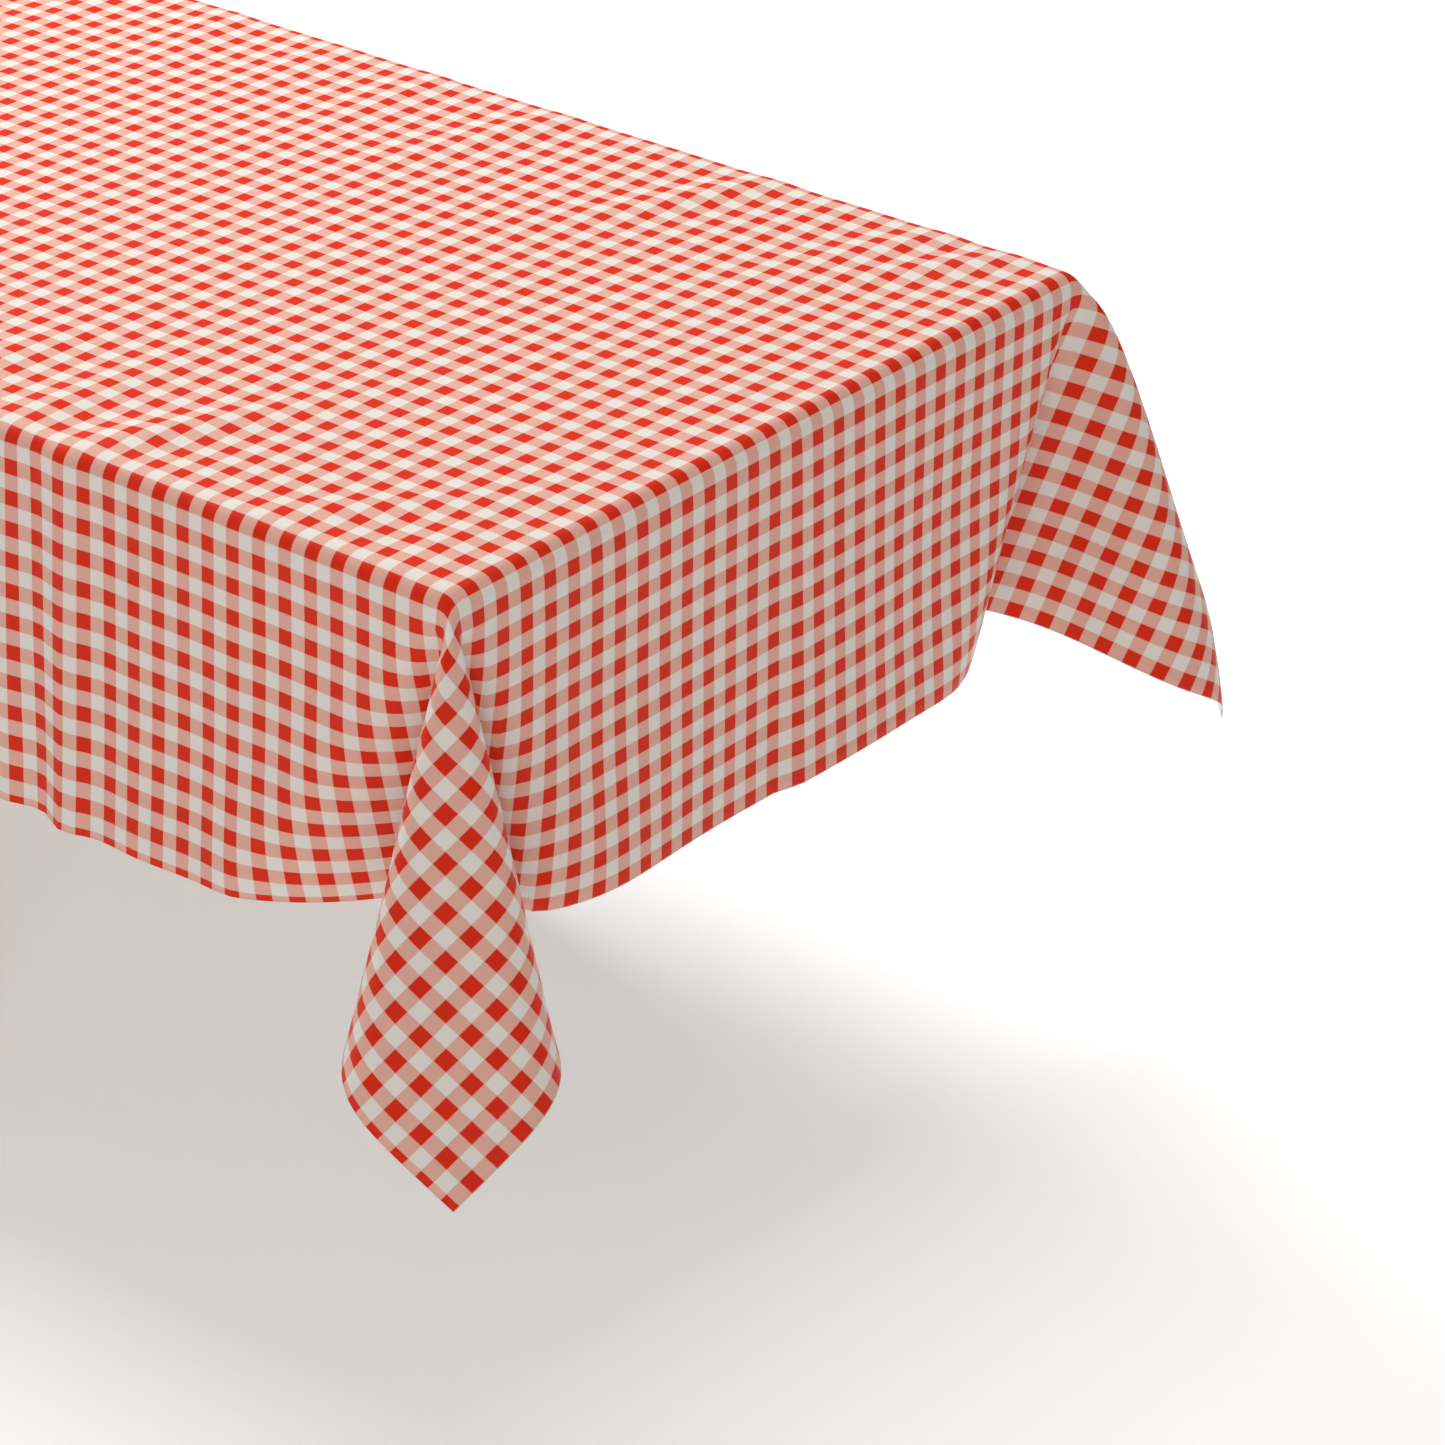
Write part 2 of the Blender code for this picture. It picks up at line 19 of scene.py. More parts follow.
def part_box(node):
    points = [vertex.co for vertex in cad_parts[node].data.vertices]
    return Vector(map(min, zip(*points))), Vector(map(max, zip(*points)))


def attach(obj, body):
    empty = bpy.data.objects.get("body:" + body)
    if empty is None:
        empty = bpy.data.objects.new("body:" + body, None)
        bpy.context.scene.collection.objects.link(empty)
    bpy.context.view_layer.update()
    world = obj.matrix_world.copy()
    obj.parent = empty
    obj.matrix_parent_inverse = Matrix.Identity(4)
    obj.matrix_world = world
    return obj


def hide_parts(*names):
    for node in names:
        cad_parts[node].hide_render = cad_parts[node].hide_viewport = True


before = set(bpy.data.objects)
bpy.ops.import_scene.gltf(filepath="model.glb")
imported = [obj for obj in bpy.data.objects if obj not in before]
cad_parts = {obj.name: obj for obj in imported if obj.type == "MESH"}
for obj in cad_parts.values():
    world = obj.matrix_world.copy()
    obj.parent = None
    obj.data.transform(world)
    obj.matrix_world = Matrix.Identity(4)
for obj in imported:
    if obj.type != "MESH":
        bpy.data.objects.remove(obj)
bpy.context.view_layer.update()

bl_info = {
    "name": "Gingham Table",
    "version": (1, 0, 0),
    "blender": (4, 5, 0),
    "location": "View3D > Sidebar > Table",
    "description": "Dresses a long table with a draped gingham oilcloth",
    "category": "Object",
}

HALF_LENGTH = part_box("lipping_right")[1].x
HALF_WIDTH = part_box("lipping_back")[1].y
TABLE_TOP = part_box("board")[1].z
BOARD_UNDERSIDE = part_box("board")[0].z
CORNER_RADIUS = 0.016     # the top's corners, seen from above
ROUND_OVER = 0.012        # the rim round the top

# From the right end of the top to the middle of its first crosswise band, in repeats.
BAND_INSET = 0.28

# The four corners are always taken in this order: (end, side), where end is
# +1 at the right and side is +1 at the back.
CORNERS = ((1, -1), (1, 1), (-1, 1), (-1, -1))
CORNER_WORDS = "front right, back right, back left, front left"

# Degrees of cloth from the fold's front to the table's edge, round one corner.
CORNER_TURN = 135.0
BULGE_REACH = 0.020       # how far down from the corner a fold's bulge grows
BULGE_SPREAD = 65.0       # degrees to each side of a fold's front that the bulge takes in
POINT_START = 0.33        # how far down from the corner a fold's point begins to hang back
POINT_SPAN = 0.12


# ---------------------------------------------------------------- settings
class ClothSettings(PropertyGroup):
    check: FloatProperty(
        name="Check", description="Side of one printed check",
        default=0.0131, min=0.002, unit="LENGTH")
    drop: FloatProperty(
        name="Drop", description="From the table top down to the hem",
        default=0.320, min=0.05, unit="LENGTH")
    thickness: FloatProperty(
        name="Thickness", description="Thickness of the coated cloth",
        default=0.0008, min=0.0002, unit="LENGTH")
    seat: FloatProperty(
        name="Seat", description="Gap between the table and the cloth's underside",
        default=0.0004, min=0.0, unit="LENGTH")
    bend: FloatProperty(
        name="Bend", description="How far each side of an edge the cloth's bend reaches",
        default=0.015, min=0.001, unit="LENGTH")
    drop_pitch: FloatProperty(
        name="Drop pitch", description="Spacing of the mesh on the drops and the folds",
        default=0.0078, min=0.002, unit="LENGTH")
    bend_pitch: FloatProperty(
        name="Bend pitch", description="Spacing of the mesh over the table's edges",
        default=0.0034, min=0.001, unit="LENGTH")
    top_pitch: FloatVectorProperty(
        name="Top pitch", description="Spacing of the mesh on the flat top, along and across",
        size=2, unit="LENGTH", default=(0.0130, 0.0150))
    lean: FloatVectorProperty(
        name="Fold lean", description="Lean of each fold's front, in degrees: " + CORNER_WORDS,
        size=4, default=(15.85, 19.0, 17.5, 16.5))
    half_width: FloatVectorProperty(
        name="Fold width", description="Half width of each fold, in degrees: " + CORNER_WORDS,
        size=4, default=(12.27, 9.0, 12.0, 12.0))
    sway: FloatVectorProperty(
        name="Fold sway", description="Each fold's sway towards the long side, in degrees: "
        + CORNER_WORDS, size=4, default=(2.2, 3.6, 1.5, -1.5))
    tail: FloatVectorProperty(
        name="Pleat sway", description="Sway of each fold's inner pleat towards the long side, "
        "in degrees: " + CORNER_WORDS, size=4, default=(0.0, 3.0, 0.0, 0.0))
    side_flare: FloatVectorProperty(
        name="Side flare", description="Flare of the long side's drop, in degrees: "
        + CORNER_WORDS, size=4, default=(3.74, 4.0, 2.0, 3.0))
    end_flare: FloatVectorProperty(
        name="End flare", description="Flare of the end's drop, in degrees: " + CORNER_WORDS,
        size=4, default=(-0.27, 1.1, 0.5, 0.0))
    side_start: FloatVectorProperty(
        name="Side start", description="Slant at which the long side's drop turns into the fold, "
        "in degrees: " + CORNER_WORDS, size=4, default=(32.0, 27.0, 29.0, 31.0))
    end_start: FloatVectorProperty(
        name="End start", description="Slant at which the end's drop turns into the fold, "
        "in degrees: " + CORNER_WORDS, size=4, default=(26.6, 26.0, 27.0, 27.5))
    side_depth: FloatVectorProperty(
        name="Side depth", description="How far back the long side's drop turns in, in degrees: "
        + CORNER_WORDS, size=4, default=(-19.9, -16.5, -17.5, -19.0))
    side_breadth: FloatVectorProperty(
        name="Side breadth", description="Where the long side's drop dives behind the fold, "
        "in degrees: " + CORNER_WORDS, size=4, default=(6.0, 13.0, 8.0, 7.0))
    end_depth: FloatVectorProperty(
        name="End depth", description="How far back the end's drop turns in, in degrees: "
        + CORNER_WORDS, size=4, default=(-15.2, -15.5, -16.0, -16.5))
    end_breadth: FloatVectorProperty(
        name="End breadth", description="Where the end's drop dives behind the fold, "
        "in degrees: " + CORNER_WORDS, size=4, default=(9.0, 6.0, 8.5, 8.0))
    bulge: FloatVectorProperty(
        name="Fold bulge", description="How far the stiff cloth stands out from each corner: "
        + CORNER_WORDS, size=4, unit="LENGTH", default=(0.012, 0.015, 0.014, 0.013))
    hollow: FloatVectorProperty(
        name="Fold hollow", description="How far the flanks of each fold are drawn in: "
        + CORNER_WORDS, size=4, default=(0.0, 0.7, 0.35, 0.15))
    curl: FloatVectorProperty(
        name="Point curl", description="How far each fold's point hangs back under itself: "
        + CORNER_WORDS, size=4, unit="LENGTH", default=(0.001, 0.017, 0.014, 0.006))
    ripple: FloatProperty(
        name="Ripple", description="Height of the soft waves left in the drops",
        default=0.0040, min=0.0, unit="LENGTH")
    top_ripple: FloatProperty(
        name="Top ripple", description="Height of the faint waves left on the top",
        default=0.0009, min=0.0, unit="LENGTH")
    settle_frames: IntProperty(
        name="Settling", description="Frames of cloth simulation", default=16, min=1)
    settle_cap: FloatProperty(
        name="Settling cap", description="The furthest that settling may move the cloth",
        default=0.008, min=0.0, unit="LENGTH")
    settle_smoothing: IntProperty(
        name="Settling smoothness", description="Times that the settling is averaged",
        default=30, min=0)
    ink: FloatVectorProperty(
        name="Full colour", description="Colour where two printed bands cross",
        size=3, subtype="COLOR", default=(0.69, 0.021, 0.003))
    tint: FloatVectorProperty(
        name="Half colour", description="Colour of a single printed band",
        size=3, subtype="COLOR", default=(0.745, 0.395, 0.31))
    ground: FloatVectorProperty(
        name="Ground colour", description="Colour of the unprinted checks",
        size=3, subtype="COLOR", default=(0.76, 0.715, 0.655))
    backing: FloatVectorProperty(
        name="Backing colour", description="Colour of the fleece backing and the cut edge",
        size=3, subtype="COLOR", default=(0.76, 0.75, 0.72))


class TimberSettings(PropertyGroup):
    pale: FloatVectorProperty(
        name="Early wood", description="Colour of the pale grain",
        size=3, subtype="COLOR", default=(0.50, 0.31, 0.165))
    dark: FloatVectorProperty(
        name="Late wood", description="Colour of the dark grain",
        size=3, subtype="COLOR", default=(0.27, 0.145, 0.065))
    grain: FloatProperty(
        name="Grain", description="Spacing of the growth rings on a face",
        default=0.006, min=0.001, unit="LENGTH")


class StageSettings(PropertyGroup):
    azimuth: FloatProperty(
        name="Azimuth", description="Heading of the camera, from +Y towards -X",
        default=math.radians(39.414), subtype="ANGLE")
    elevation: FloatProperty(
        name="Elevation", description="How far the camera looks down",
        default=math.radians(28.19), subtype="ANGLE")
    away: FloatVectorProperty(
        name="Camera place", description="Camera, from the front right corner of the top",
        size=3, subtype="XYZ", unit="LENGTH", default=(2.2594, -2.444, 1.6813))
    lens: FloatProperty(
        name="Lens", description="Focal length in millimetres", default=129.68, min=1.0)
    overhead: FloatProperty(
        name="Overhead light", description="Power of the large soft light above the table",
        default=72.0, min=0.0, unit="POWER")
    window: FloatProperty(
        name="Window light", description="Power of the low soft light to the left of the table",
        default=260.0, min=0.0, unit="POWER")
    front: FloatProperty(
        name="Front light", description="Power of the weak soft light beside the camera",
        default=22.0, min=0.0, unit="POWER")
    surround: FloatProperty(
        name="Surround light", description="Brightness of the pale room", default=0.34, min=0.0)
    floor_glow: FloatProperty(
        name="Floor glow", description="Light given off by the floor", default=0.34, min=0.0)


# ---------------------------------------------------------------- shader tools
class Signal:
    """A number in a material, written as an expression; each operation adds a Math node."""

    def __init__(self, graph, socket):
        self.graph = graph
        self.socket = socket

    def _math(self, operation, *values):
        node = self.graph.node("ShaderNodeMath", {"operation": operation},
                               dict(enumerate(values)))
        return Signal(self.graph, node.outputs[0])

    def __add__(self, other):
        return self._math("ADD", self, other)

    def __radd__(self, other):
        return self._math("ADD", other, self)

    def __sub__(self, other):
        return self._math("SUBTRACT", self, other)

    def __rsub__(self, other):
        return self._math("SUBTRACT", other, self)

    def __mul__(self, other):
        return self._math("MULTIPLY", self, other)

    def __rmul__(self, other):
        return self._math("MULTIPLY", other, self)

    def __truediv__(self, other):
        return self._math("DIVIDE", self, other)

    def __abs__(self):
        return self._math("ABSOLUTE", self)

    def fraction(self):
        return self._math("FRACT", self)

    def sine(self):
        return self._math("SINE", self)

    def clamped(self):
        return self._math("MINIMUM", self._math("MAXIMUM", self, 0.0), 1.0)


class Graph:
    """The node tree of one new material."""

    def __init__(self, name, roughness=0.5, metallic=0.0):
        self.material = bpy.data.materials.new(name)
        self.material.use_nodes = True
        self.tree = self.material.node_tree
        self.shader = self.tree.nodes["Principled BSDF"]
        self.shader.inputs["Roughness"].default_value = roughness
        self.shader.inputs["Metallic"].default_value = metallic

    def node(self, kind, settings=None, inputs=None):
        """Adds a node: its settings first, then the values or links of its sockets."""
        made = self.tree.nodes.new(kind)
        for key, value in (settings or {}).items():
            if key == "stops":
                self._stops(made.color_ramp, value)
            else:
                setattr(made, key, value)
        for key, value in (inputs or {}).items():
            self.feed(made.inputs[key], value)
        return made

    def _stops(self, ramp, stops):
        while len(ramp.elements) < len(stops):
            ramp.elements.new(1.0)
        for element, (place, colour) in zip(ramp.elements, stops):
            element.position = place
            element.color = (*colour, 1.0)

    def feed(self, socket, value):
        if isinstance(value, Signal):
            value = value.socket
        if isinstance(value, bpy.types.NodeSocket):
            self.tree.links.new(value, socket)
        elif hasattr(value, "__len__") and len(value) == 3 and len(socket.default_value) == 4:
            socket.default_value = (*value, 1.0)
        else:
            socket.default_value = value

    def signal(self, socket):
        return Signal(self, socket)

    def uniform(self, name, value):
        self.shader.inputs[name].default_value = value

    def surface(self, name, value):
        self.feed(self.shader.inputs[name], value)

    def place(self, scale=(1.0, 1.0, 1.0)):
        """Coordinates on the piece, stretched by scale."""
        source = self.node("ShaderNodeTexCoord").outputs["Object"]
        return self.node("ShaderNodeMapping", {}, {"Vector": source, "Scale": scale}).outputs[0]

    def noise(self, where, scale, detail=2.0, roughness=0.5, distortion=0.0):
        made = self.node("ShaderNodeTexNoise", {}, {
            "Vector": where, "Scale": scale, "Detail": detail,
            "Roughness": roughness, "Distortion": distortion})
        return self.signal(made.outputs["Fac"])

    def mix(self, share, first, second):
        """A colour between first and second."""
        made = self.node("ShaderNodeMix", {"data_type": "RGBA"})
        self.feed(made.inputs[0], share)
        self.feed(made.inputs[6], first)
        self.feed(made.inputs[7], second)
        return made.outputs[2]

    def bump(self, height, distance, strength=1.0):
        made = self.node("ShaderNodeBump", {}, {
            "Height": height, "Distance": distance, "Strength": strength})
        self.surface("Normal", made.outputs[0])


# ---------------------------------------------------------------- finishes
def printed_cloth(cloth):
    """Two sets of printed bands that cross as gingham, on a finely embossed coat."""
    graph = Graph("cloth_print")
    flat = graph.node("ShaderNodeUVMap", {"uv_map": "flat"}).outputs[0]
    axes = graph.node("ShaderNodeSeparateXYZ", {}, {"Vector": flat})
    along = graph.signal(axes.outputs["X"])
    across = graph.signal(axes.outputs["Y"])
    repeat = 2 * cloth.check
    wobble = (graph.noise(flat, 160.0, 2.0) - 0.5) * 0.012
    softness = 0.022

    def bands(place, first_centre):
        """1 on a printed band and 0 between, with a slightly soft edge."""
        turn = (place / repeat - first_centre / repeat + 0.5).fraction()
        return ((0.25 - abs(turn - 0.5) + wobble) / softness + 0.5).clamped()

    cross_bands = bands(along, cloth_edge(cloth)[0] - BAND_INSET * repeat)
    long_bands = bands(across, -cloth_edge(cloth)[1])
    both = cross_bands * long_bands
    single = (cross_bands + long_bands - both * 2.0).clamped()

    # fine threads drawn across each single band
    thread_pitch = cloth.check / 9.0
    threads = ((along * (math.tau / thread_pitch)).sine() * long_bands
               + (across * (math.tau / thread_pitch)).sine() * cross_bands)
    mottle = graph.noise(flat, 35.0, 4.0, 0.6)
    tone = single * (1.0 + 0.10 * threads) * (0.97 + 0.06 * mottle)
    colour = graph.mix(tone.clamped(), cloth.ground, cloth.tint)
    colour = graph.mix(both * (0.985 + 0.015 * mottle), colour, cloth.ink)
    graph.surface("Base Color", colour)

    # a fine linen emboss, and a gloss that varies a little from place to place
    weave_pitch = 0.0011
    emboss = ((along * (math.tau / weave_pitch)).sine()
              * (across * (math.tau / weave_pitch)).sine())
    haze = graph.noise(flat, 9.0, 4.0, 0.55)
    grit = graph.noise(flat, 900.0, 2.0)
    graph.surface("Roughness", 0.30 + 0.14 * haze + 0.06 * grit)
    graph.bump(0.5 * emboss + 0.7 * grit + 2.2 * graph.noise(flat, 60.0, 3.0), 0.00006, 0.8)
    graph.uniform("Specular IOR Level", 0.06)
    graph.uniform("IOR", 1.47)
    return graph.material


def fleece_backing(cloth):
    """The soft white backing under the coat, which also shows at the cut edge."""
    graph = Graph("cloth_backing")
    flat = graph.node("ShaderNodeUVMap", {"uv_map": "flat"}).outputs[0]
    fibre = graph.noise(flat, 1400.0, 4.0, 0.7, 0.6)
    tufts = graph.noise(flat, 220.0, 3.0, 0.6)
    shade = tuple(0.80 * value for value in cloth.backing)
    graph.surface("Base Color", graph.mix((0.6 * fibre + 0.5 * tufts).clamped(),
                                          shade, cloth.backing))
    graph.surface("Roughness", 0.86 + 0.12 * fibre)
    graph.bump(fibre + 0.8 * tufts, 0.0003, 0.7)
    graph.uniform("Sheen Weight", 0.35)
    return graph.material


def timber(name, axis, settings, tone=1.0, roughness=0.46):
    """Planed wood whose grain runs along one axis (0, 1 or 2)."""
    graph = Graph(name)
    stretch = [1.0, 1.0, 1.0]
    stretch[axis] = 0.055
    where = graph.place(scale=tuple(stretch))
    warp = graph.noise(where, 9.0, 3.0, 0.55, 0.4)
    axes = graph.node("ShaderNodeSeparateXYZ", {}, {"Vector": where})
    first, second = [graph.signal(axes.outputs[index]) for index in range(3) if index != axis]
    # growth rings about a heart that lies well outside the piece
    rings = ((first * 0.62 + second * 1.0) / settings.grain + 7.0 * warp).fraction()
    late = (rings * rings * rings * 0.9 + 0.1 * rings).clamped()
    pores = graph.noise(where, 900.0, 2.0, 0.6)
    streaks = graph.noise(where, 120.0, 4.0, 0.6)
    figure = (0.55 * late + 0.45 * streaks).clamped()
    pale = tuple(min(1.0, tone * value) for value in settings.pale)
    dark = tuple(tone * value for value in settings.dark)
    colour = graph.mix(figure, pale, dark)
    patchy = graph.noise(graph.place(), 5.0, 3.0)
    colour = graph.mix(0.25 * patchy, colour, tuple(0.72 * value for value in dark))
    graph.surface("Base Color", colour)
    graph.surface("Roughness", roughness + 0.16 * pores - 0.08 * late)
    graph.bump(0.5 * pores + 0.7 * streaks - 0.4 * late, 0.00025, 0.7)
    graph.uniform("Coat Weight", 0.08)
    return graph.material


def end_grain_dowel(settings):
    """Pale, dry wood with fine flecks."""
    graph = Graph("dowel_beech")
    where = graph.place(scale=(1.0, 1.0, 0.08))
    fleck = graph.noise(where, 1200.0, 3.0, 0.6)
    pale = tuple(min(1.0, 1.35 * value) for value in settings.pale)
    graph.surface("Base Color", graph.mix(fleck, pale, settings.pale))
    graph.surface("Roughness", 0.62 + 0.15 * fleck)
    graph.bump(fleck, 0.0002, 0.6)
    return graph.material


def plated_steel():
    """Zinc plating, slightly cloudy and worn."""
    graph = Graph("fastener_zinc", metallic=1.0)
    where = graph.place()
    cloud = graph.noise(where, 260.0, 4.0, 0.6)
    scratch = graph.noise(graph.place(scale=(1.0, 1.0, 0.05)), 2600.0, 2.0)
    graph.surface("Base Color", graph.mix(cloud, (0.60, 0.60, 0.58), (0.46, 0.47, 0.48)))
    graph.surface("Roughness", 0.26 + 0.18 * cloud + 0.10 * scratch)
    graph.bump(scratch, 0.00005, 0.5)
    return graph.material


def moulded_plastic():
    """The dark, finely grained plastic of the glides, scuffed near the floor."""
    graph = Graph("glide_moulding")
    grain = graph.noise(graph.place(), 1800.0, 3.0, 0.6)
    axes = graph.node("ShaderNodeSeparateXYZ", {}, {"Vector": graph.place()})
    height = graph.signal(axes.outputs["Z"])
    scuffs = graph.noise(graph.place(scale=(1.0, 1.0, 6.0)), 120.0, 4.0, 0.7)
    worn = ((1.0 - height / 0.004).clamped() * scuffs).clamped()
    graph.surface("Base Color", graph.mix(worn, (0.028, 0.028, 0.030), (0.16, 0.155, 0.15)))
    graph.surface("Roughness", 0.46 + 0.12 * grain + 0.25 * worn)
    graph.bump(grain, 0.0001, 0.6)
    return graph.material


# ---------------------------------------------------------------- the drape
def cloth_skin(cloth):
    """From the table's surface to the cloth's outer face."""
    return cloth.thickness + cloth.seat


def cloth_edge(cloth):
    """Half length and half width of the top, measured on the cloth's outer face."""
    skin = cloth_skin(cloth)
    return HALF_LENGTH + skin, HALF_WIDTH + skin


def side_guides(slants, flare):
    """(lean, turn) in degrees of lines in a drop that flares from upright.

    A line's slant is its angle from the steepest line, towards the table's edge.
    """
    swing = np.radians(slants)[:, None]
    half = math.sqrt(0.5)
    along = np.array([-half, half, 0.0])
    away = np.array([half, half, 0.0])
    down = away * math.sin(math.radians(flare)) - [0, 0, math.cos(math.radians(flare))]
    lines = along * np.sin(swing) + down * np.cos(swing)
    tilt = np.degrees(np.arccos(np.clip(-lines[:, 2], -1, 1)))
    heading = np.arctan2(lines[:, 1], lines[:, 0])
    return np.stack([tilt * np.cos(heading), tilt * np.sin(heading)], axis=1)


def smooth_line(guides, steps=24):
    """Points along the uniform cubic B-spline of the guides."""
    t = (np.arange(steps) / steps)[:, None]
    weights = ((1 - t) ** 3, 3 * t ** 3 - 6 * t ** 2 + 4,
               -3 * t ** 3 + 3 * t ** 2 + 3 * t + 1, t ** 3)
    pieces = []
    for index in range(len(guides) - 3):
        pieces.append(sum(w * guides[index + k] for k, w in enumerate(weights)) / 6)
    return np.concatenate(pieces)


def half_fold(lean, half, sway, tail, hollow, flare, start, flank, neck):
    """Directions from a corner to the hem, from the fold's front to the table's edge.

    Gives unit vectors in (diagonal, sideways, up), and the turn made on the way
    to each, in degrees.  A sheet that doesn't stretch turns through CORNER_TURN.
    """
    depth, breadth = flank
    # the rounded front and side, the flank, the inner pleat and the turn into the drop
    front = np.array([(lean, -0.7 * half), (lean, 0.0), (lean, 0.7 * half),
                      (lean - 4.5, 1.12 * half), (lean - 13.0, (1.06 - 0.2 * hollow) * half),
                      (-4.0, (0.74 - 0.35 * hollow) * half), (-14.0, 0.34 * half),
                      (neck, 1.2), (neck + 0.5, 4.2),
                      (depth - 2.0, breadth - 2.6), (depth, breadth)])
    slants = np.array([start, start + 7, start + 15, start + 24, 68, 80, 92, 104, 116.0])
    guides = np.concatenate([front, side_guides(slants, flare)])
    # both halves start from the same line, the middle of the fold's front
    middle = int(np.argmin(np.abs(smooth_line(guides)[:30, 1])))
    guides[:9, 1] += sway * np.array([1, 1, 1, 1, 0.9, 0.6, 0.3, 0.0, 0.0])
    guides[4:9, 1] += tail * np.array([0.25, 0.8, 1.1, 1.0, 1.0])
    lean_turn = smooth_line(guides)[middle:]
    tilt = np.radians(np.hypot(lean_turn[:, 0], lean_turn[:, 1]))
    heading = np.arctan2(lean_turn[:, 1], lean_turn[:, 0])
    lines = np.stack([np.sin(tilt) * np.cos(heading), np.sin(tilt) * np.sin(heading),
                      -np.cos(tilt)], axis=1)
    level = np.nonzero(lines[:, 2] >= -2e-3)[0]
    lines = lines[:level[0] + 1] if len(level) else lines
    steps = np.arccos(np.clip((lines[1:] * lines[:-1]).sum(axis=1), -1, 1))
    return lines, np.degrees(np.concatenate([[0.0], np.cumsum(steps)]))


def closed_half_fold(lean, half, sway, tail, hollow, flare, start, flank):
    """The half fold whose inner pleat is just deep enough to take up the spare cloth."""
    deepest, shallowest = -60.0, 6.0
    for _ in range(30):
        neck = (deepest + shallowest) / 2
        turns = half_fold(lean, half, sway, tail, hollow, flare, start, flank, neck)[1]
        if turns[-1] > CORNER_TURN:
            deepest = neck
        else:
            shallowest = neck
    return half_fold(lean, half, sway, tail, hollow, flare, start, flank, neck)


class CornerFold:
    """One corner of the drape: a cone of straight lines from the corner to the hem."""

    def __init__(self, cloth, index):
        lean, half, sway = cloth.lean[index], cloth.half_width[index], cloth.sway[index]
        hollow, tail = cloth.hollow[index], cloth.tail[index]
        self.bulge = cloth.bulge[index]
        self.curl = cloth.curl[index]
        self.side = closed_half_fold(lean, half, sway, tail, hollow, cloth.side_flare[index],
                                     cloth.side_start[index],
                                     (cloth.side_depth[index], cloth.side_breadth[index]))
        self.end = closed_half_fold(lean, half, -sway, -tail, hollow, cloth.end_flare[index],
                                    cloth.end_start[index],
                                    (cloth.end_depth[index], cloth.end_breadth[index]))

    def directions(self, angle):
        """Directions of the lines at these angles from the diagonal, in degrees."""
        turn = np.abs(angle)
        made = np.empty(angle.shape + (3,))
        for half, chosen, mirror in ((self.side, angle >= 0, 1.0), (self.end, angle < 0, -1.0)):
            lines, turns = half
            for axis in range(3):
                made[chosen, axis] = np.interp(turn[chosen], turns, lines[:, axis])
            made[chosen, 1] *= mirror
        return made

    def points(self, beyond_end, beyond_side):
        """Points past the corner, in (away from the end, away from the side, up)."""
        reach = np.hypot(beyond_end, beyond_side)
        angle = np.degrees(np.arctan2(beyond_side, beyond_end)) - 45.0
        angle = (angle + 180.0) % 360.0 - 180.0
        line = self.directions(angle)
        spread = np.cos(np.clip(np.abs(angle) / BULGE_SPREAD, 0, 1) * math.pi / 2) ** 2
        hang = np.clip((reach - POINT_START) / POINT_SPAN, 0, 1) ** 1.4 * spread
        out = self.bulge * spread * (1 - np.exp(-reach / BULGE_REACH)) - self.curl * hang
        half = math.sqrt(0.5)
        return np.stack([half * (reach * (line[:, 0] - line[:, 1]) + out),
                         half * (reach * (line[:, 0] + line[:, 1]) + out),
                         reach * line[:, 2] - 0.35 * self.curl * hang], axis=1)


def sharp_drape(cloth, folds, along, across):
    """The drape over sharp edges: flat on top, straight drops, a fold at each corner."""
    edge_x, edge_y = cloth_edge(cloth)
    level = TABLE_TOP + cloth_skin(cloth)
    points = np.stack([along, across, np.full_like(along, level)], axis=1)
    for (end, side), fold in zip(CORNERS, folds):
        past_end = along * end - edge_x
        past_side = across * side - edge_y
        here = (along * end >= 0) & (across * side >= 0) & ((past_end > 0) | (past_side > 0))
        moved = fold.points(past_end[here], past_side[here])
        points[here] = np.stack([end * (edge_x + moved[:, 0]),
                                 side * (edge_y + moved[:, 1]),
                                 level + moved[:, 2]], axis=1)
    return points


def rounded_drape(cloth, folds, along, across):
    """The sharp drape averaged over a small square, which rounds every bend."""
    samples = 7
    offsets = ((np.arange(samples) + 0.5) / samples * 2 - 1) * cloth.bend
    total = np.zeros((len(along), 3))
    for first in offsets:
        for second in offsets:
            total += sharp_drape(cloth, folds, along + first, across + second)
    return total / samples ** 2


def bend_table(cloth, edge, half_size):
    """(flat, sharp): a place on the flat sheet, and where it lies on the sharp drape.

    The rounded bend is a shorter way round than the sharp corner, so the sheet
    slides a little further down past it.
    """
    sharp = np.linspace(0, half_size + cloth.bend, 6000)
    near = np.clip(sharp - edge, -cloth.bend, cloth.bend)
    speed = np.sqrt((cloth.bend - near) ** 2 + (cloth.bend + near) ** 2) / (2 * cloth.bend)
    speed[np.abs(sharp - edge) >= cloth.bend] = 1.0
    steps = np.diff(sharp) * (speed[1:] + speed[:-1]) / 2
    return np.concatenate([[0.0], np.cumsum(steps)]), sharp


